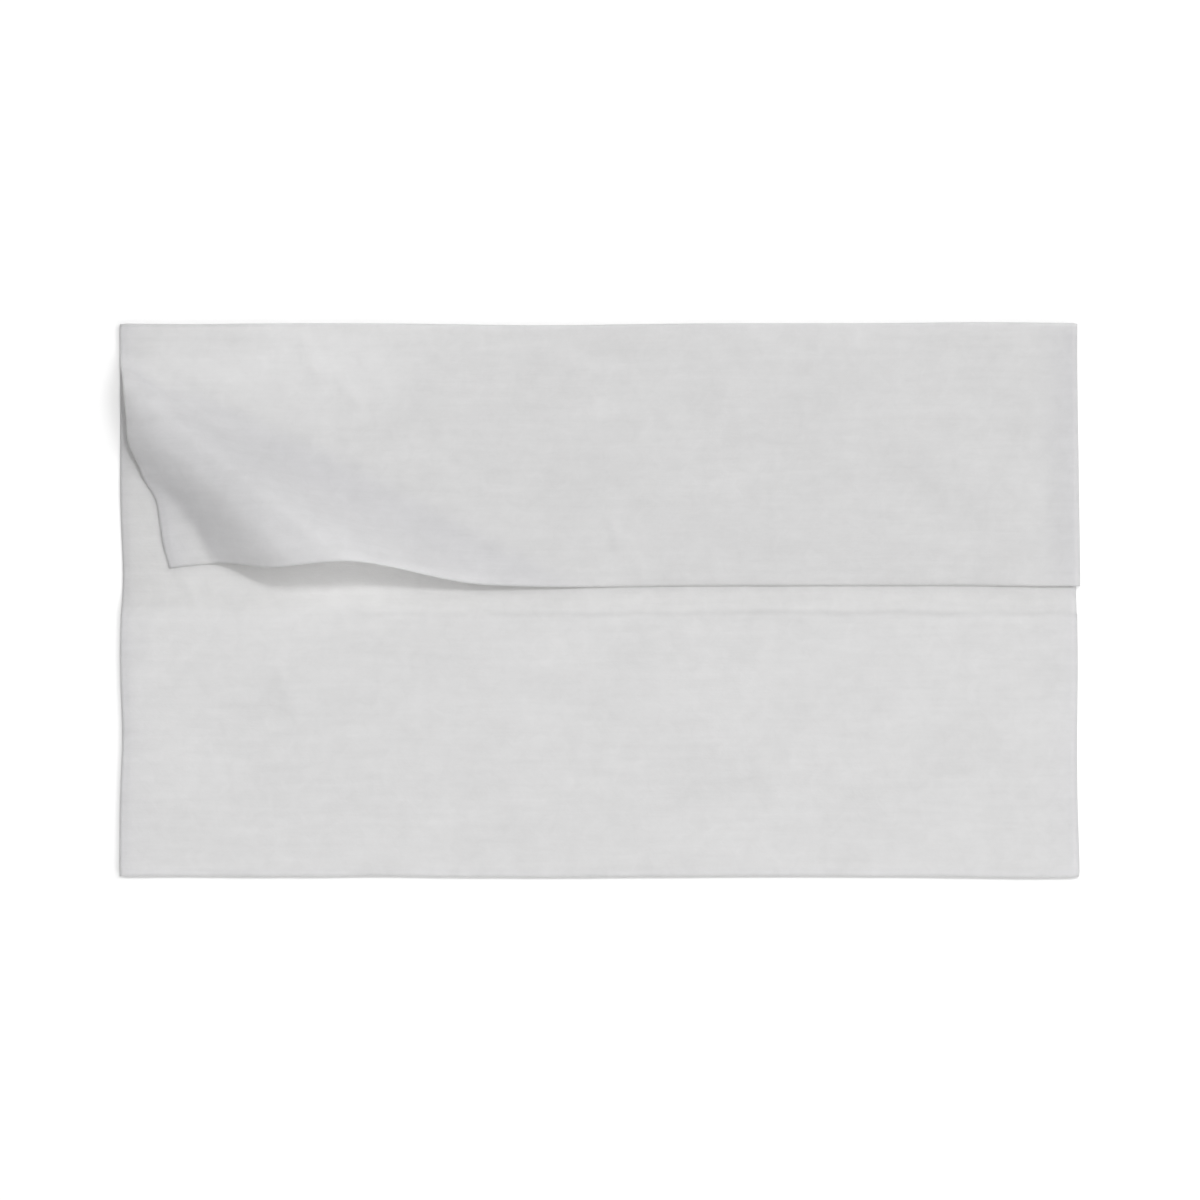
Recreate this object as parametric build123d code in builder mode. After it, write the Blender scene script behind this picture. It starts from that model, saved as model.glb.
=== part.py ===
"""A moist nonwoven wipe, folded in three as a Z and lying flat.

One cut sheet is folded twice along its long side. The under flap lies on the
surface, the middle panel covers it and steps down off its free edge, and the
top flap folds back over the middle panel. One corner of the top flap has been
pushed inwards, so that the flap rises beside it in a low hump.

X runs along the folds, +Y points to the fold of the top flap and +Z is up.
The origin is the centre of the folded wipe, on the surface that it lies on.
"""

import os
from math import atan2, ceil, cos, degrees, hypot, radians, sin, sqrt, tan

from build123d import *

# The folded sheet, in millimetres
sheet_width = 180.0  # along the folds
folded_depth = 104.0  # from fold to fold
sheet_thickness = 0.5
ply_gap = 0.15  # air between two plies that lie on each other
flap_clearance = 5.0  # seen from above, between the free edges of the two flaps

# The step of the middle panel, where it comes down off the under flap's edge
step_clearance = 0.35  # from the under flap's edge to the top of the step
step_run = 3.6  # along Y, from the top of the step to its foot

# The hump beside the lifted corner is part of a cone. Its tip lies outside the
# sheet, level with the top flap, and the hump's straight lines all run to it.
tip_beside = 18.0  # from the sheet's left edge to the tip, along X
tip_behind = 4.0  # from the back fold to the tip, along Y

# Directions from the tip on the flat sheet, in degrees clockwise from +X
hump_start = 26.5  # where the flap begins to rise
crest_start = 43.5
crest_end = 50.0
hump_end = 67.0  # where the flap lies flat again
hump_rise = 8.2  # elevation of the crest, seen from the tip
hump_gather = 0.10  # share of its length that the moist sheet gives on the crest

hump_spans = 28  # points along the hump's curves, less one
edge_spans = 16  # the same for the flap's edges on the hump
direction_step = 0.25  # of the sum that turns the directions, in degrees
margin = 3.0  # by which the uncut flap reaches past its edges

ply_pitch = sheet_thickness + ply_gap
upper_ply = ply_pitch + sheet_thickness / 2
inner_radius = ply_gap / 2
outer_radius = inner_radius + sheet_thickness
left_edge = -sheet_width / 2
right_edge = sheet_width / 2
front_bend = outer_radius - folded_depth / 2
back_bend = folded_depth / 2 - outer_radius
under_edge = -flap_clearance / 2
top_edge = flap_clearance / 2
step_top = under_edge + step_clearance
step_foot = step_top + step_run
step_middle = (step_top + step_run / 2, ply_pitch / 2)
tip = Vector(left_edge - tip_beside, folded_depth / 2 + tip_behind, upper_ply)


def ease(share):
    """A smooth step from 0 to 1, level at both ends."""
    share = min(max(share, 0.0), 1.0)
    return share**3 * (10 - 15 * share + 6 * share**2)


def elevation(direction):
    """How far the flap rises, in degrees seen from the tip."""
    rise = ease((direction - hump_start) / (crest_start - hump_start))
    fall = ease((direction - crest_end) / (hump_end - crest_end))
    return hump_rise * rise * (1 - fall)


def turned(direction):
    """Where a direction on the flat sheet points once the sheet is humped."""
    stretch = min(direction, hump_end) - hump_start
    if stretch <= 0:
        return direction
    count = ceil(stretch / direction_step)
    step = stretch / count
    total = hump_start
    for index in range(count):
        start = hump_start + index * step
        level = elevation(start + step / 2)
        slope = (elevation(start + step) - elevation(start)) / step
        level_share = sqrt(1 - slope**2) / cos(radians(level))
        total += step * (level_share - hump_gather * level / hump_rise)
    return total + max(direction - hump_end, 0.0)


def ruling(direction):
    """The unit vector from the tip along the humped sheet."""
    rise = radians(elevation(direction))
    heading = radians(turned(direction))
    return Vector(cos(rise) * cos(heading), -cos(rise) * sin(heading), sin(rise))


def hump_point(direction, section_x, side):
    """Where one face of the hump meets an upright plane, as (Y, Z)."""
    line = ruling(direction)
    across = ruling(direction + direction_step) - ruling(direction - direction_step)
    normal = across.cross(line).normalized()
    along_plane = normal - line * (normal.X / line.X)
    point = tip + line * ((section_x - tip.X) / line.X)
    point += along_plane * (side * sheet_thickness / 2)
    return (point.Y, point.Z)


def flap_point(x, y):
    """Where a point of the flat top flap goes, seen from above."""
    reach = hypot(x - tip.X, y - tip.Y)
    moved = tip + ruling(degrees(atan2(tip.Y - y, x - tip.X))) * reach
    return (moved.X, moved.Y)


def spread(start, end, spans):
    """Evenly spaced values from start to end."""
    return [start + (end - start) * index / spans for index in range(spans + 1)]


# Under flap, front fold, middle panel with its step, and back fold: one band
with BuildPart() as folded_wipe:
    with BuildSketch(Plane.YZ):
        with BuildLine():
            Line((under_edge, sheet_thickness), (front_bend, sheet_thickness))
            ThreePointArc(
                (front_bend, sheet_thickness),
                (front_bend - inner_radius, sheet_thickness + inner_radius),
                (front_bend, ply_pitch),
            )
            Line((front_bend, ply_pitch), (step_top, ply_pitch))
            step = TangentArc((step_top, ply_pitch), step_middle, tangent=(1, 0))
            TangentArc(step_middle, (step_foot, 0), tangent=step % 1)
            Line((step_foot, 0), (back_bend, 0))
            ThreePointArc(
                (back_bend, 0),
                (back_bend + outer_radius, outer_radius),
                (back_bend, 2 * outer_radius),
            )
            offset(amount=sheet_thickness, side=Side.RIGHT)
        make_face()
    extrude(amount=sheet_width / 2, both=True)

# The top flap, with its hump followed from the tip between two upright planes
front_reach = tip.Y - top_edge
hump_foot = tip.X + front_reach / tan(radians(hump_start))
near_plane = left_edge - margin
far_plane = hump_foot + margin
directions = spread(hump_start, hump_end, hump_spans)
with BuildPart() as flap:
    for place in (near_plane, far_plane):
        front_end = hump_point(hump_end, place, 0)[0] - margin - front_reach
        with BuildSketch(Plane.YZ.offset(place)):
            with BuildLine():
                lower_curve = Spline(*[hump_point(d, place, -1) for d in directions])
                upper_curve = Spline(*[hump_point(d, place, 1) for d in directions])
                Polyline(
                    lower_curve @ 0,
                    (back_bend, ply_pitch),
                    (back_bend, 2 * outer_radius),
                    upper_curve @ 0,
                )
                Polyline(
                    lower_curve @ 1,
                    (front_end, ply_pitch),
                    (front_end, 2 * outer_radius),
                    upper_curve @ 1,
                )
            make_face()
    loft(ruled=True)

    # Its edges from above, which curve where they run over the hump
    side_angles = spread(hump_start, hump_end, edge_spans)
    side_y = [tip.Y - tip_beside * tan(radians(angle)) for angle in side_angles]
    front_x = [tip.X + front_reach / tan(radians(angle)) for angle in side_angles]
    with BuildSketch():
        with BuildLine():
            side_curve = Spline(*[flap_point(left_edge, y) for y in side_y])
            front_curve = Spline(*[flap_point(x, top_edge) for x in front_x])
            Polyline(side_curve @ 1, flap_point(left_edge, top_edge), front_curve @ 1)
            Polyline(
                front_curve @ 0,
                (far_plane, top_edge),
                (far_plane, back_bend),
                (left_edge, back_bend),
                side_curve @ 0,
            )
        make_face()
    extrude(amount=folded_depth, mode=Mode.INTERSECT)
    extrude(flap.faces().sort_by(Axis.X)[-1], amount=right_edge - far_plane)

with folded_wipe:
    add(flap.part)

os.makedirs("parts", exist_ok=True)
folded_wipe.part.label = "folded_wipe"
export_step(folded_wipe.part, "parts/folded_wipe.step")
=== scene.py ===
"""A moist nonwoven wipe, folded in three and lying on a pale table, with one corner of its top flap pushed in."""

import bisect
import math

import bmesh
import bpy
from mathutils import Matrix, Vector, noise


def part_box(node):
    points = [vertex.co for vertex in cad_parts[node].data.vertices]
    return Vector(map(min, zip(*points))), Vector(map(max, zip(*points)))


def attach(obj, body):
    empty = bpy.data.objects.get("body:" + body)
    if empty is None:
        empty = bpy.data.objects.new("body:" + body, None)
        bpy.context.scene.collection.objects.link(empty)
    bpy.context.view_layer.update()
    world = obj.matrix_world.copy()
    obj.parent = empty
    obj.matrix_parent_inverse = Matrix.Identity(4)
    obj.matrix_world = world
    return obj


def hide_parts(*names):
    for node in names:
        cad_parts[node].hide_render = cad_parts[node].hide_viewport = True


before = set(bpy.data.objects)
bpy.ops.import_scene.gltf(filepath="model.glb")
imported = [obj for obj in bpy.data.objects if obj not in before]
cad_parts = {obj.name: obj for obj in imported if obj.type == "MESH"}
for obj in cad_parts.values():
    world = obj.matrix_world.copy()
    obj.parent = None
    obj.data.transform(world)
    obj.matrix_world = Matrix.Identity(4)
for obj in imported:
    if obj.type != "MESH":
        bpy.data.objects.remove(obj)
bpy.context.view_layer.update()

bl_info = {
    "name": "Folded Wipe",
    "version": (1, 0, 0),
    "blender": (4, 5, 0),
    "location": "View3D > Sidebar > Folded Wipe",
    "description": "Builds a moist nonwoven wipe, folded in three, on a pale table",
    "category": "Object",
}

MM = 0.001
NODE = "folded_wipe"
BODY = "root"
FLAT_MAP = "flat_cut"
# Name of the attribute that carries painted shade and painted light over the sheet.
PAINTED_SHADE = "loose"
low_corner, high_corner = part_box(NODE)


class SheetSettings(bpy.types.PropertyGroup):
    """Sizes of the sheet, its folds and the hump beside its lifted corner."""

    width: bpy.props.FloatProperty(
        name="Width", description="Along the folds", unit="LENGTH", default=high_corner.x - low_corner.x)
    depth: bpy.props.FloatProperty(
        name="Folded depth", description="From fold to fold", unit="LENGTH", default=high_corner.y - low_corner.y)
    thickness: bpy.props.FloatProperty(
        name="Thickness", description="Thickness of the moist sheet", unit="LENGTH", default=0.5 * MM)
    edge_thinning: bpy.props.FloatProperty(
        name="Edge thinning", description="Share of the thickness that is missing at the cut edges", default=0.7)
    ply_gap: bpy.props.FloatProperty(
        name="Ply gap", description="Air between two plies", unit="LENGTH", default=0.15 * MM)
    fold_radius: bpy.props.FloatProperty(
        name="Fold radius", description="Of the middle of the sheet in a fold", unit="LENGTH", default=0.42 * MM)
    fold_swell: bpy.props.FloatProperty(
        name="Fold swell", description="How far from a fold its roundness lifts a ply", unit="LENGTH",
        default=5 * MM)
    flap_clearance: bpy.props.FloatProperty(
        name="Flap clearance", description="Between the free edges of the flaps, seen from above", unit="LENGTH",
        default=5 * MM)
    step_clearance: bpy.props.FloatProperty(
        name="Step clearance", description="From the under flap's edge to the top of the step", unit="LENGTH",
        default=0.35 * MM)
    step_run: bpy.props.FloatProperty(
        name="Step run", description="From the top of the step to its foot", unit="LENGTH", default=3.2 * MM)
    tip_beside: bpy.props.FloatProperty(
        name="Tip beside", description="From the sheet's side to the tip of the hump's cone", unit="LENGTH",
        default=17.5 * MM)
    tip_behind: bpy.props.FloatProperty(
        name="Tip behind", description="From the back fold to the tip of the hump's cone", unit="LENGTH",
        default=3.5 * MM)
    crest: bpy.props.FloatProperty(
        name="Crest", description="Elevation of the crest in degrees, seen from the tip", default=9.1)
    skirt: bpy.props.FloatProperty(
        name="Skirt", description="Share of that elevation on the long gentle rise", default=0.28)
    skirt_start: bpy.props.FloatProperty(
        name="Skirt start", description="Heading where the gentle rise begins", default=26.0)
    skirt_end: bpy.props.FloatProperty(
        name="Skirt end", description="Heading where the gentle rise ends", default=36.0)
    rise_start: bpy.props.FloatProperty(
        name="Rise start", description="Heading where the steep rise begins", default=31.2)
    rise_end: bpy.props.FloatProperty(
        name="Rise end", description="Heading where the steep rise ends", default=39.3)
    fall_start: bpy.props.FloatProperty(
        name="Fall start", description="Heading where the wall beside the corner begins", default=42.3)
    fall_end: bpy.props.FloatProperty(
        name="Fall end", description="Heading where the wall reaches the flat corner", default=55.2)
    fall_spread: bpy.props.FloatProperty(
        name="Fall spread", description="How much further the wall reaches near the sheet's side, in degrees",
        default=4.0)
    gather: bpy.props.FloatProperty(
        name="Gather", description="Share of its length that the moist sheet gives on the crest", default=0.07)
    softness: bpy.props.IntProperty(
        name="Softness", description="How often the lifted flap is smoothed", default=6)
    cockle: bpy.props.FloatProperty(
        name="Cockle", description="Height of the sheet's long soft waves", unit="LENGTH", default=0.3 * MM)
    cockle_span: bpy.props.FloatProperty(
        name="Cockle span", description="Length of those waves", unit="LENGTH", default=24 * MM)


class FibreSettings(bpy.types.PropertyGroup):
    """Colour and texture of the nonwoven."""

    colour: bpy.props.FloatVectorProperty(
        name="Colour", description="Of the moist sheet", subtype="COLOR", size=3, min=0, max=1,
        default=(0.862, 0.862, 0.877))
    # Painted shade: a bluish tint where a ply doesn't touch the one below.
    painted_shade_tint: bpy.props.FloatVectorProperty(
        name="Painted shade tint", description="Tint where a ply doesn't touch the one below", subtype="COLOR", size=3,
        min=0, max=1, default=(0.985, 0.985, 1.0))
    through: bpy.props.FloatVectorProperty(
        name="Light through", description="Colour of the light that passes through a ply", subtype="COLOR", size=3,
        min=0, max=1, default=(0.925, 0.92, 0.895))
    clear: bpy.props.FloatProperty(
        name="Clear", description="Share of the light that each face of a ply lets through", default=0.48)
    relief: bpy.props.FloatProperty(
        name="Relief", description="Height of the fibres", unit="LENGTH", default=0.05 * MM)


class StageSettings(bpy.types.PropertyGroup):
    """Table, lights and camera."""

    table: bpy.props.FloatVectorProperty(
        name="Table", description="Colour of the table", subtype="COLOR", size=3, min=0, max=1,
        default=(0.93, 0.93, 0.93))
    fill: bpy.props.FloatProperty(name="Fill", description="Light from all round", default=0.62)
    key: bpy.props.FloatProperty(
        name="Key", description="Power of the lamp that casts the shadow", unit="POWER", default=29.0)
    soft: bpy.props.FloatProperty(
        name="Soft", description="Power of the broad lamp on the right", unit="POWER", default=21.0)
    front: bpy.props.FloatProperty(
        name="Front", description="Power of the broad low lamp in front", unit="POWER", default=16.0)
    camera_height: bpy.props.FloatProperty(
        name="Camera height", description="Over the table", unit="LENGTH", default=1.0)
    view_width: bpy.props.FloatProperty(
        name="View width", description="Of the table that the camera sees", unit="LENGTH", default=0.2256)


# Shape ------------------------------------------------------------------------------------------


def ease(share):
    """A smooth step from 0 to 1, level at both ends."""
    share = min(max(share, 0.0), 1.0)
    return share**2 * (3 - 2 * share)


def bell(distance, reach):
    """1 at no distance, fading smoothly to nothing."""
    return math.exp(-((distance / reach) ** 2))


def bows(at, bows_mm):
    """Soft bows along a line, in mm: each has a height, and the middle and reach of its bell."""
    return sum(height * bell(at - middle * MM, reach * MM) for height, middle, reach in bows_mm)


def patch(x, y, spot):
    """A soft oval patch: its strength, then its middle and reach in mm along x and along y."""
    strength, x_middle, x_reach, y_middle, y_reach = spot
    return strength * bell(x - x_middle * MM, x_reach * MM) * bell(y - y_middle * MM, y_reach * MM)


class Hump:
    """The lifted part of the top flap: a cone whose tip lies outside the sheet.

    A heading is the direction from the tip in which a point of the humped sheet is seen from above, in degrees
    clockwise from +X. A direction is the same on the flat sheet. It is larger, because the hump uses up sheet.
    """

    step = 0.1
    widest = 75.0
    near_side = 30 * MM  # reach from the tip at which the wall is widest
    side_blend = 25 * MM  # from there to where it's as narrow as at the free edge
    free_edge = 60 * MM

    def __init__(self, s):
        self.s = s
        self.tip = Vector((-s.width / 2 - s.tip_beside, s.depth / 2 + s.tip_behind))
        self.headings = [s.skirt_start]
        self.directions = [s.skirt_start]
        while self.headings[-1] < self.widest:
            heading = self.headings[-1]
            level = self.elevation(heading + self.step / 2)
            climb = (self.elevation(heading + self.step) - self.elevation(heading)) / self.step
            spread = math.hypot(math.cos(math.radians(level)), climb) + s.gather * level / s.crest
            self.headings.append(heading + self.step)
            self.directions.append(self.directions[-1] + self.step * spread)

    def elevation(self, heading, reach=free_edge):
        """How far the flap rises, in degrees seen from the tip."""
        s = self.s
        fall_end = s.fall_end + s.fall_spread * (1 - ease((reach - self.near_side) / self.side_blend))
        skirt = ease((heading - s.skirt_start) / (s.skirt_end - s.skirt_start))
        rise = ease((heading - s.rise_start) / (s.rise_end - s.rise_start))
        fall = ease((heading - s.fall_start) / (fall_end - s.fall_start))
        return s.crest * (s.skirt * skirt + (1 - s.skirt) * rise) * (1 - fall)

    def heading(self, direction):
        """Where a direction on the flat sheet points once the sheet is humped."""
        if direction <= self.directions[0]:
            return direction
        index = min(bisect.bisect(self.directions, direction), len(self.directions) - 1)
        before, after = self.directions[index - 1], self.directions[index]
        return self.headings[index - 1] + self.step * (direction - before) / (after - before)

    def lift(self, x, y, z):
        """Moves a point of the flat top flap."""
        reach = math.hypot(x - self.tip.x, y - self.tip.y)
        heading = self.heading(math.degrees(math.atan2(self.tip.y - y, x - self.tip.x)))
        rise = math.radians(self.elevation(heading, reach))
        turn = math.radians(heading)
        return Vector((
            self.tip.x + reach * math.cos(rise) * math.cos(turn),
            self.tip.y - reach * math.cos(rise) * math.sin(turn),
            z + reach * math.sin(rise),
        ))


class FoldedSheet:
    """Where each point of the flat cut sheet lies once it is folded."""

    # How far apart the grid's rows are on each stretch of the sheet.
    hidden_cell = 2.4 * MM
    turning_cell = 1.0 * MM
    shown_cell = 0.85 * MM
    covered_cell = 1.3 * MM
    near_fold_cell = 0.8 * MM
    flap_cell = 0.68 * MM
    cells_in_fold = 12

    # Each crease: its ply, its two ends in mm from the middle of the wipe, then its half width and height in mm.
    crease_lines = (
        (2, 2, 15, 4, 9, 0.9, 0.22),
        (2, 5, 11, 8, 5, 0.8, 0.18),
        (2, -55, 47, -52, 42, 1.4, 0.26),
        (2, -50, 43, -45, 37, 1.2, 0.22),
        (2, 28, 31, 42, 30, 1.2, 0.15),
        (2, 62, 24, 66, 17, 1.0, 0.18),
        (2, 87, 27.9, 90, 27.6, 0.7, 0.48),
        (1, -90, 20.6, -84, 20.1, 0.8, 0.26),
        (1, -79, 5, -76, 0, 0.9, 0.26),
        (1, 30, -30, 33, -39, 1.2, 0.18),
        (1, -60, -14, -57, -22, 1.3, 0.18),
        (1, -70, -26.4, 20, -26.6, 0.8, 0.11),
    )

    # Patches of painted light and shade, as patch() reads them: painted light that lightens the shadow below the
    # hump, and a patch where the flap gets less painted shade.
    painted_light_below_hump = (-3.6, -50, 20, 5, 6.5)
    less_shade_patch = (-0.95, -62, 32, 45, 11)

    # How each fold and cut side wanders, as bows() reads them.
    back_fold = ((-0.17, -77, 12), (-0.37, -11, 20), (0.2, 72, 14))
    front_fold = ((0.17, -80, 9), (0.17, -41, 9), (0.17, 38, 20), (-0.1, -11, 15), (-0.2, 81, 12))
    middle_left = ((0.5, 5, 9), (0.5, -25, 9))
    middle_right = ((0.15, -12, 9), (0.5, -53, 12))
    under_left = ((0.35, -27, 8),)
    free_edge_rises = ((0.35, -9, 12), (0.12, 30, 9), (0.4, 83, 9))

    def __init__(self, s):
        self.s = s
        self.hump = Hump(s)
        self.pitch = s.thickness + s.ply_gap
        self.low = s.thickness / 2
        self.bend = s.depth / 2 - s.thickness / 2 - s.fold_radius
        self.swell = 2 * s.fold_radius - self.pitch
        self.under_edge = -s.flap_clearance / 2
        self.top_edge = s.flap_clearance / 2
        self.step_top = self.under_edge + s.step_clearance
        self.step_foot = self.step_top + s.step_run
        self.turn = math.pi * s.fold_radius
        self.under_end = self.under_edge + self.bend
        self.middle_start = self.under_end + self.turn
        self.middle_end = self.middle_start + 2 * self.bend
        self.flap_start = self.middle_end + self.turn
        self.length = self.flap_start + self.bend - self.top_edge

    def stations(self):
        """Distances along the sheet for its rows: close together in the folds and where the sheet shows."""
        reaches = (
            (self.under_end - 4 * MM, self.hidden_cell),
            (self.under_end - 0.2 * MM, self.turning_cell),
            (self.middle_start + 0.2 * MM, self.turn / self.cells_in_fold),
            (self.middle_start + self.bend + 4 * MM, self.shown_cell),
            (self.middle_end - 3 * MM, self.covered_cell),
            (self.middle_end - 0.2 * MM, self.near_fold_cell),
            (self.flap_start + 0.2 * MM, self.turn / self.cells_in_fold),
            (self.length, self.flap_cell),
        )
        rows = [0.0]
        for end, cell in reaches:
            start = rows[-1]
            count = math.ceil((end - start) / cell)
            rows += [start + (end - start) * (index + 1) / count for index in range(count)]
        return rows

    def section(self, at):
        """(y, z, ply) of the middle of the sheet, where ply is 0 under, 1 middle and 2 top."""
        s = self.s
        if at < self.under_end:
            return self.under_edge - at, self.low, 0
        if at < self.middle_start:
            angle = (at - self.under_end) / s.fold_radius
            return (-self.bend - s.fold_radius * math.sin(angle),
                    self.low + s.fold_radius * (1 - math.cos(angle)), 1)
        if at < self.middle_end:
            y = at - self.middle_start - self.bend
            down = ease((y - self.step_top) / (self.step_foot - self.step_top))
            near = 1 - ease((y + self.bend) / s.fold_swell)
            return y, self.low + self.pitch * (1 - down) + self.swell * near, 1
        if at < self.flap_start:
            angle = (at - self.middle_end) / s.fold_radius
            return (self.bend + s.fold_radius * math.sin(angle),
                    self.low + s.fold_radius * (1 - math.cos(angle)), 2)
        y = self.bend - (at - self.flap_start)
        near = 1 - ease((self.bend - y) / s.fold_swell)
        return y, self.low + self.pitch + self.swell * near, 2

    def place(self, across, at):
        """The place of a point of the flat sheet once it is folded, and the painted shade and painted light that it
        carries there.
        """
        y, z, ply = self.section(at)
        x = across - self.s.width / 2
        if at > self.flap_start:
            lifted = self.hump.lift(x, y, z)
            loose = self.painted_shade_on_flap(x, y, lifted.z - z)
            point = lifted + self.flap_pull(x, y)
            point.z += self.flap_edge(x, y)
        else:
            # Painted light lightens the shadow below the hump.
            loose = patch(x, y, self.painted_light_below_hump)
            point = Vector((x, y, z))
        point.x += self.side_drift(x, y, ply)
        point.y += self.fold_drift(x, y)
        point.z += self.waves(point.x, point.y) + self.creases(x, y, ply)
        return point, loose + self.painted_edge_shade(x, y, at)

    def painted_edge_shade(self, x, y, at):
        """Painted shade: the sheet is a little greyer toward its cut sides and on its folds, most of all on the
        flap.
        """
        share_at_side = 0.8 if at > self.flap_start else 0.3
        painted_shade_toward_side = ease((abs(x) - 81 * MM) / (8 * MM))
        at_side = ease((abs(x) - 87.5 * MM) / (2.5 * MM))
        at_fold = ease((abs(y) - 49.8 * MM) / (2.2 * MM))
        return share_at_side * painted_shade_toward_side + 0.7 * (at_side + at_fold)

    def edge_sag(self, at):
        """How far the thin cut edge of an upper ply sinks into the gap below it."""
        return 0.0 if at < self.middle_start else 0.8 * self.s.ply_gap

    def painted_shade_on_flap(self, x, y, height):
        """Painted shade on the flap: 1 where the flap is off the ply below, 0 where it clings to it, less in a
        patch, more on the wall that faces away from the key lamp.
        """
        lifted = ease(height / (1.2 * MM))
        cling_line = 41.5 * MM - 0.533 * max(0.0, x + 75.4 * MM)
        before_line = ease((cling_line - y + 2 * MM) / (6 * MM))
        skirt = before_line * ease((x + 0.75 * y + 68 * MM) / (10 * MM))
        wall_line = 16 * MM - 0.9 * (x + 70 * MM)
        wall = 0.4 * bell(y - wall_line, 9 * MM) * ease((-60 * MM - x) / (8 * MM))
        return max(lifted, skirt) + patch(x, y, self.less_shade_patch) + wall

    def flap_pull(self, x, y):
        """How far the flap is pulled out of its cone beside the lifted corner."""
        side = 1 - ease((x + self.s.width / 2) / (13 * MM))
        front = 1 - ease((y - self.top_edge) / (14 * MM))
        bulge = -1.5 * bell(y - 27 * MM, 5 * MM)
        corner = 1.7 * ease((21 * MM - y) / (6 * MM)) + 0.6 * ease((8 * MM - y) / (6 * MM))
        inward = 0.5 * side - 0.7 * bell(x + 66 * MM, 8 * MM)
        return Vector(((bulge + corner) * side, inward * front, 0.0)) * MM

    def flap_edge(self, x, y):
        """The free edge of the flap isn't pressed down everywhere."""
        near = 1 - ease((y - self.top_edge) / (7 * MM))
        return bows(x, self.free_edge_rises) * MM * near

    def side_drift(self, x, y, ply):
        """The cut sides aren't straight, and the plies don't meet exactly."""
        right = -0.4 + bows(y, self.middle_right)
        if ply == 0:
            left = -0.15 + bows(y, self.under_left)
            right += 0.15
        elif ply == 1:
            left = -0.28 + bows(y, self.middle_left)
        else:
            left = -0.28
            right = 0.3 - 0.55 * ease(y / (49 * MM))
        share = x / self.s.width + 0.5
        return (left * (1 - share)**3 + right * share**3) * MM

    def fold_drift(self, x, y):
        """The folds aren't straight either."""
        share = ease(y / self.s.depth + 0.5)
        return (bows(x, self.back_fold) * share + bows(x, self.front_fold) * (1 - share)) * MM

    def creases(self, x, y, ply):
        """Short soft creases, as a ridge along each line."""
        height = 0.0
        place = Vector((x, y))
        for on, x0, y0, x1, y1, reach, rise in self.crease_lines:
            if on == ply:
                start, run = Vector((x0, y0)) * MM, Vector((x1 - x0, y1 - y0)) * MM
                off = place - start
                share = min(max(off.dot(run) / run.length_squared, 0.0), 1.0)
                height += rise * MM * bell((off - run * share).length, reach * MM)
        return height

    def waves(self, x, y):
        """Long soft waves that all plies share, never below the table."""
        s = self.s
        first = noise.noise(Vector((x / s.cockle_span, y / s.cockle_span, 3.7)))
        second = noise.noise(Vector((x / s.cockle_span * 2.3, y / s.cockle_span * 2.6, 9.1)))
        return s.cockle * max(0.0, 0.5 + 0.42 * first + 0.2 * second)


# Materials --------------------------------------------------------------------------------------


class Value:
    """A socket in a node tree that can be reckoned with."""

    def __init__(self, nodes, socket):
        self.nodes = nodes
        self.socket = socket

    def math(self, operation, *others):
        """A Math node on this socket."""
        return self.nodes.value(self.nodes.add("ShaderNodeMath", {"operation": operation}, [self, *others]))

    def __add__(self, other):
        return self.math("ADD", other)

    def __sub__(self, other):
        return self.math("SUBTRACT", other)

    def __mul__(self, other):
        return self.math("MULTIPLY", other)

    def __truediv__(self, other):
        return self.math("DIVIDE", other)

    def __rsub__(self, other):
        return self * -1.0 + other

    __radd__ = __add__
    __rmul__ = __mul__


class Nodes:
    """A material's node tree, built one call at a time."""

    def __init__(self, name):
        self.material = bpy.data.materials.new(name)
        self.material.use_nodes = True
        self.tree = self.material.node_tree
        self.tree.nodes.clear()

    def add(self, kind, settings=None, inputs=()):
        """Adds a node, sets it up, then gives its sockets values or links."""
        node = self.tree.nodes.new(kind)
        for key, value in (settings or {}).items():
            setattr(node, key, value)
        pairs = inputs.items() if isinstance(inputs, dict) else enumerate(inputs)
        for key, value in pairs:
            if isinstance(value, Value):
                self.tree.links.new(value.socket, node.inputs[key])
            elif isinstance(value, bpy.types.NodeSocket):
                self.tree.links.new(value, node.inputs[key])
            else:
                node.inputs[key].default_value = value
        return node

    def value(self, node, output=0):
        """An output of a node, as a value."""
        return Value(self, node.outputs[output])

    def noise(self, vector, scale, detail=2.0, rough=0.5, warp=0.0):
        """Soft noise from 0 to 1."""
        inputs = {"Vector": vector, "Scale": scale, "Detail": detail, "Roughness": rough, "Distortion": warp}
        return self.value(self.add("ShaderNodeTexNoise", {"noise_dimensions": "2D"}, inputs))

    def mapped(self, vector, turn=0.0, scale=(1, 1, 1), shift=(0, 0, 0)):
        """The pattern's coordinates, turned and then stretched."""
        turned = self.add("ShaderNodeMapping", {}, {"Vector": vector, "Rotation": (0, 0, turn), "Location": shift})
        return self.add("ShaderNodeMapping", {}, {"Vector": turned.outputs[0], "Scale": scale}).outputs[0]


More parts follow.
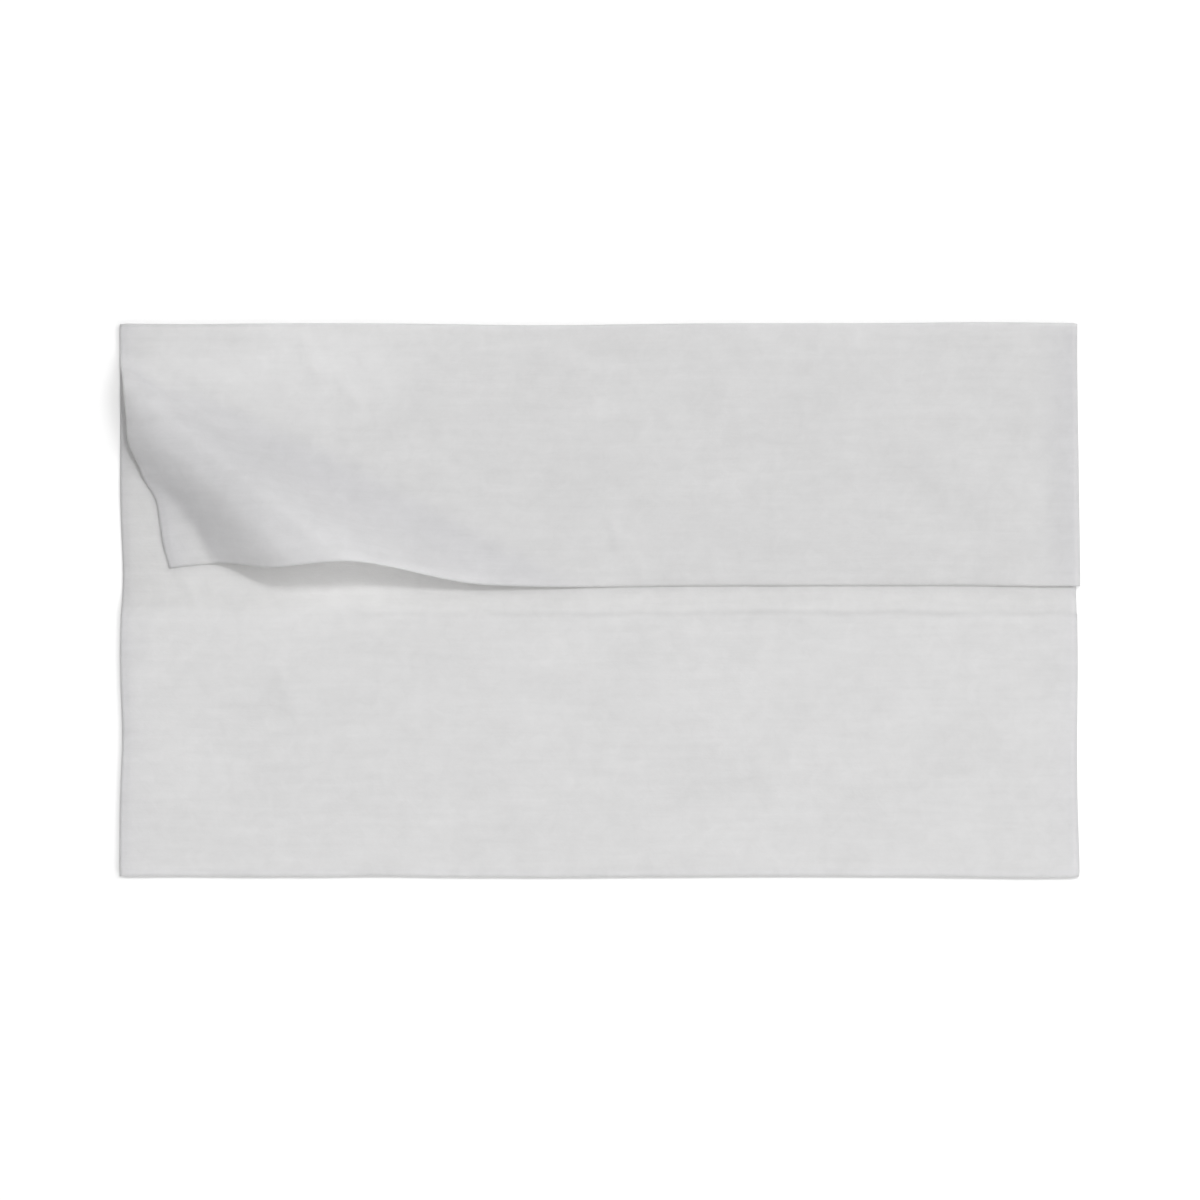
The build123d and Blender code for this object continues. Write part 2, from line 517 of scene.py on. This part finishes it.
def nonwoven(fibre, folded):
    """Moist white nonwoven: fibres mostly across the sheet, thick and thin clouds, and painted shade: the ply below
    showing through as a dark line, greyer and bluish where a ply is off the one below or lies alone, with painted
    light below the hump.

    Its patterns lie on the flat cut sheet and are in mm of it.
    """
    nodes = Nodes("moist_nonwoven")
    flat = nodes.add("ShaderNodeUVMap", {"uv_map": FLAT_MAP}).outputs[0]
    per_mm = folded.length / MM
    flat_mm = nodes.mapped(flat, scale=(per_mm, per_mm, 1))
    parts = nodes.add("ShaderNodeSeparateXYZ", {}, [flat_mm])
    across, along = nodes.value(parts, 0), nodes.value(parts, 1)
    # Painted shade, and painted light below the hump, carried on the sheet.
    loose = nodes.value(nodes.add("ShaderNodeAttribute", {"attribute_name": PAINTED_SHADE}), "Fac")

    strands = nodes.noise(nodes.mapped(flat_mm, 0.03, (0.5, 2.8, 1)), 1.0, 2.0, 0.7, 0.6)
    crossed = nodes.noise(nodes.mapped(flat_mm, 0.9, (0.8, 2.2, 1), (3, 7, 0)), 1.0, 1.0, 0.7, 0.8)
    streaks = nodes.noise(nodes.mapped(flat_mm, 0.0, (0.06, 0.8, 1), (17, 3, 0)), 1.0, 2.0, 0.6, 0.3)
    clumps = nodes.noise(flat_mm, 0.35, 4.0, 0.72, 0.5)
    clouds = nodes.noise(nodes.mapped(flat_mm, 0.0, (0.06, 0.08, 1)), 1.0, 2.0, 0.55, 0.6)
    web = strands * 0.6 + crossed * 0.4

    flap = (along - folded.flap_start / MM).math("GREATER_THAN", 0.0)

    # Past the edge of the under flap, the middle panel lies on the table alone; painted shade darkens it there,
    # most of all toward the side beside the hump.
    edge_below = (folded.middle_start + folded.under_edge + folded.bend) / MM
    edge_fade = 1.5
    past_edge = ((along - edge_below) / edge_fade).math("MAXIMUM", 0.0).math("MINIMUM", 1.0)
    single = past_edge * (1 - flap)
    painted_shade_toward_side = (1 - across / 30.0).math("MAXIMUM", 0.0)

    # That edge shows through as a thin wandering line of painted shade, which fades toward the lifted corner.
    wander = nodes.noise(nodes.mapped(flat_mm, 0.0, (0.09, 0.02, 1), (5, 5, 0)), 1.0, 2.0, 0.6)
    wander = (wander - 0.5) * 2.4
    line_half_width = 0.75
    line = (1 - (along - edge_below + wander * 0.5).math("ABSOLUTE") / line_half_width).math("MAXIMUM", 0.0)
    line = line * (across / 45.0 - 0.75 + wander).math("MAXIMUM", 0.12).math("MINIMUM", 1.0)

    fibre_tone_and_painted_shade = 1.0
    for pattern, contrast in ((web, 0.08), (clumps, 0.16), (streaks, 0.09), (clouds, 0.09)):
        fibre_tone_and_painted_shade = fibre_tone_and_painted_shade + (pattern - 0.5) * contrast
    # The top flap is a little darker; the rest is painted shade: off the ply below, on the wall, at sides and
    # folds, on the single ply and along the under flap's edge, with painted light below the hump.
    for part, shade in ((flap, 0.042), (loose, 0.075), (single, painted_shade_toward_side * 0.08 + 0.035), (line, 0.1)):
        fibre_tone_and_painted_shade = fibre_tone_and_painted_shade - part * shade
    white = nodes.add("ShaderNodeVectorMath", {"operation": "SCALE"}, {"Vector": fibre.colour, "Scale": fibre_tone_and_painted_shade})
    # Painted shade: that bluish tint, where a ply is off the one below.
    painted_cool_shade = nodes.add("ShaderNodeMix", {"data_type": "RGBA", "blend_type": "MULTIPLY"}, {
        "Factor": loose, "A": white.outputs[0], "B": (*fibre.painted_shade_tint, 1)})
    bump = nodes.add("ShaderNodeBump", {}, {"Strength": 1.0, "Distance": fibre.relief, "Height": web})
    shader = nodes.add("ShaderNodeBsdfPrincipled", {}, {
        "Base Color": painted_cool_shade.outputs["Result"], "Roughness": web * 0.3 + 0.5, "Normal": bump.outputs[0],
        "Specular IOR Level": 0.25})
    through = nodes.add("ShaderNodeBsdfTranslucent", {}, {"Color": (*fibre.through, 1)})
    both = nodes.add("ShaderNodeMixShader", {}, {0: fibre.clear, 1: shader.outputs[0], 2: through.outputs[0]})
    nodes.add("ShaderNodeOutputMaterial", {}, [both.outputs[0]])
    return nodes.material


def plain_finish(name, colour, rough):
    """A matt finish with a faint cloudiness."""
    nodes = Nodes(name)
    at = nodes.add("ShaderNodeTexCoord").outputs["Object"]
    cloud = nodes.noise(at, 9.0)
    tint = nodes.add("ShaderNodeMix", {"data_type": "RGBA"}, {
        "Factor": cloud * 0.1, "A": (*colour, 1), "B": (*(value * 0.97 for value in colour), 1)})
    shader = nodes.add("ShaderNodeBsdfPrincipled", {}, {
        "Base Color": tint.outputs["Result"], "Roughness": rough, "Specular IOR Level": 0.1})
    nodes.add("ShaderNodeOutputMaterial", {}, [shader.outputs[0]])
    return nodes.material


# Pieces -----------------------------------------------------------------------------------------


def finished(bm, name, material):
    """The bmesh as an object at the origin."""
    mesh = bpy.data.meshes.new(name)
    bm.to_mesh(mesh)
    bm.free()
    mesh.materials.append(material)
    piece = bpy.data.objects.new(name, mesh)
    bpy.context.scene.collection.objects.link(piece)
    return piece


class WIPE_OT_folded_sheet(bpy.types.Operator):
    """Build the folded sheet"""

    bl_idname = "wipe.folded_sheet"
    bl_label = "Folded Sheet"
    columns_near = 150  # on the part of the width that holds the hump
    columns_far = 62
    near_share = 0.56
    thin_band = 1.4 * MM  # over which the cut edges thin out

    def execute(self, context):
        sheet = context.scene.wipe_sheet
        folded = FoldedSheet(sheet)
        thinned = sheet.thickness / 2 * sheet.edge_thinning
        rows = folded.stations()
        columns = [self.near_share * index / self.columns_near for index in range(self.columns_near)]
        columns += [self.near_share + (1 - self.near_share) * index / self.columns_far
                    for index in range(self.columns_far + 1)]
        bm = bmesh.new()
        bmesh.ops.create_grid(bm, x_segments=len(columns) - 1, y_segments=len(rows) - 1, size=1.0)
        layer = bm.loops.layers.uv.new(FLAT_MAP)
        painted_shade_layer = bm.verts.layers.float.new(PAINTED_SHADE)
        edge_layer = bm.verts.layers.float.new("cut_edge")
        flat = {}
        for vert in bm.verts:
            column = round((vert.co.x + 1) / 2 * (len(columns) - 1))
            row = round((vert.co.y + 1) / 2 * (len(rows) - 1))
            across, along = columns[column] * sheet.width, rows[row]
            flat[vert] = (across / folded.length, along / folded.length)
            vert.co, vert[painted_shade_layer] = folded.place(across, along)
            inward = min(across, sheet.width - across, along, folded.length - along)
            vert[edge_layer] = 1 - ease(inward / self.thin_band)
            vert.co.z -= vert[edge_layer] * (thinned + folded.edge_sag(along))
        flap = [vert for vert in bm.verts if vert[painted_shade_layer] > 0]
        for _ in range(sheet.softness):
            bmesh.ops.smooth_vert(bm, verts=flap, factor=0.5, use_axis_z=True)
        for face in bm.faces:
            face.smooth = True
            for loop in face.loops:
                loop[layer].uv = flat[loop.vert]
        bm.normal_update()
        for vert in bm.verts:
            vert.co += vert.normal * sheet.thickness / 2
        bm.normal_update()
        bmesh.ops.solidify(bm, geom=bm.faces[:], thickness=sheet.thickness)
        bm.normal_update()
        for vert in bm.verts:
            vert.co -= vert.normal * thinned * vert[edge_layer]
        bm.verts.layers.float.remove(edge_layer)
        bm.normal_update()
        piece = finished(bm, "folded_sheet", nonwoven(context.scene.wipe_fibre, folded))
        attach(piece, BODY)
        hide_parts(NODE)
        return {"FINISHED"}


class WIPE_OT_stage(bpy.types.Operator):
    """Build the table, the lights and the camera"""

    bl_idname = "wipe.stage"
    bl_label = "Table, Lights and Camera"
    lamp_distance = 3.0
    table_reach = 3.0
    table_drop = 0.05 * MM
    film_width = 36

    # Each lamp: its name, the setting that holds its power, its diameter and the direction that it stands in.
    lamps = (
        ("key_lamp", "key", 0.4, (0.19, 0.39, 1.0)),
        ("soft_lamp", "soft", 1.8, (0.60, 0.35, 0.72)),
        ("front_lamp", "front", 1.5, (0.55, -0.70, 0.62)),
    )

    def lamp(self, context, name, power, size, toward):
        """A round lamp that faces the wipe."""
        light = bpy.data.lights.new(name, "AREA")
        light.shape = "DISK"
        light.size = size
        light.energy = power
        lamp = bpy.data.objects.new(name, light)
        lamp.location = Vector(toward).normalized() * self.lamp_distance
        lamp.rotation_euler = (-lamp.location).to_track_quat("-Z", "Y").to_euler()
        context.scene.collection.objects.link(lamp)

    def execute(self, context):
        stage = context.scene.wipe_stage
        bm = bmesh.new()
        bmesh.ops.create_grid(bm, x_segments=8, y_segments=8, size=self.table_reach)
        for vert in bm.verts:
            vert.co.z = low_corner.z - self.table_drop
        table = finished(bm, "table", plain_finish("pale_table", stage.table, 0.9))

        for name, power, size, toward in self.lamps:
            self.lamp(context, name, getattr(stage, power), size, toward)

        world = bpy.data.worlds.new("studio")
        world.use_nodes = True
        world.cycles.sampling_method = "NONE"
        sky = world.node_tree.nodes["Background"]
        sky.inputs["Color"].default_value = (1, 1, 1, 1)
        sky.inputs["Strength"].default_value = stage.fill
        context.scene.world = world

        lens = bpy.data.cameras.new("camera")
        lens.sensor_width = self.film_width
        lens.lens = lens.sensor_width * stage.camera_height / stage.view_width
        camera = bpy.data.objects.new("camera", lens)
        camera.location = (0, 0, stage.camera_height)
        context.scene.collection.objects.link(camera)
        context.scene.camera = camera
        context.scene.view_settings.view_transform = "Standard"
        return {"FINISHED"}


class WIPE_PT_sidebar(bpy.types.Panel):
    """Lists the parts of the wipe and their sizes"""

    bl_idname = "WIPE_PT_sidebar"
    bl_label = "Folded Wipe"
    bl_space_type = "VIEW_3D"
    bl_region_type = "UI"
    bl_category = "Folded Wipe"

    def draw(self, context):
        scene = context.scene
        parts = (
            (WIPE_OT_folded_sheet, (scene.wipe_sheet, scene.wipe_fibre)),
            (WIPE_OT_stage, (scene.wipe_stage,)),
        )
        for operator, groups in parts:
            self.layout.operator(operator.bl_idname)
            for group in groups:
                for name in group.bl_rna.properties.keys():
                    if name not in ("rna_type", "name"):
                        self.layout.prop(group, name)


CLASSES = (SheetSettings, FibreSettings, StageSettings, WIPE_OT_folded_sheet, WIPE_OT_stage, WIPE_PT_sidebar)


def register():
    for item in CLASSES:
        bpy.utils.register_class(item)
    bpy.types.Scene.wipe_sheet = bpy.props.PointerProperty(type=SheetSettings)
    bpy.types.Scene.wipe_fibre = bpy.props.PointerProperty(type=FibreSettings)
    bpy.types.Scene.wipe_stage = bpy.props.PointerProperty(type=StageSettings)


def unregister():
    for name in ("wipe_sheet", "wipe_fibre", "wipe_stage"):
        delattr(bpy.types.Scene, name)
    for item in reversed(CLASSES):
        bpy.utils.unregister_class(item)


def main():
    register()
    bpy.ops.wipe.folded_sheet()
    bpy.ops.wipe.stage()


if __name__ == "__main__":
    main()
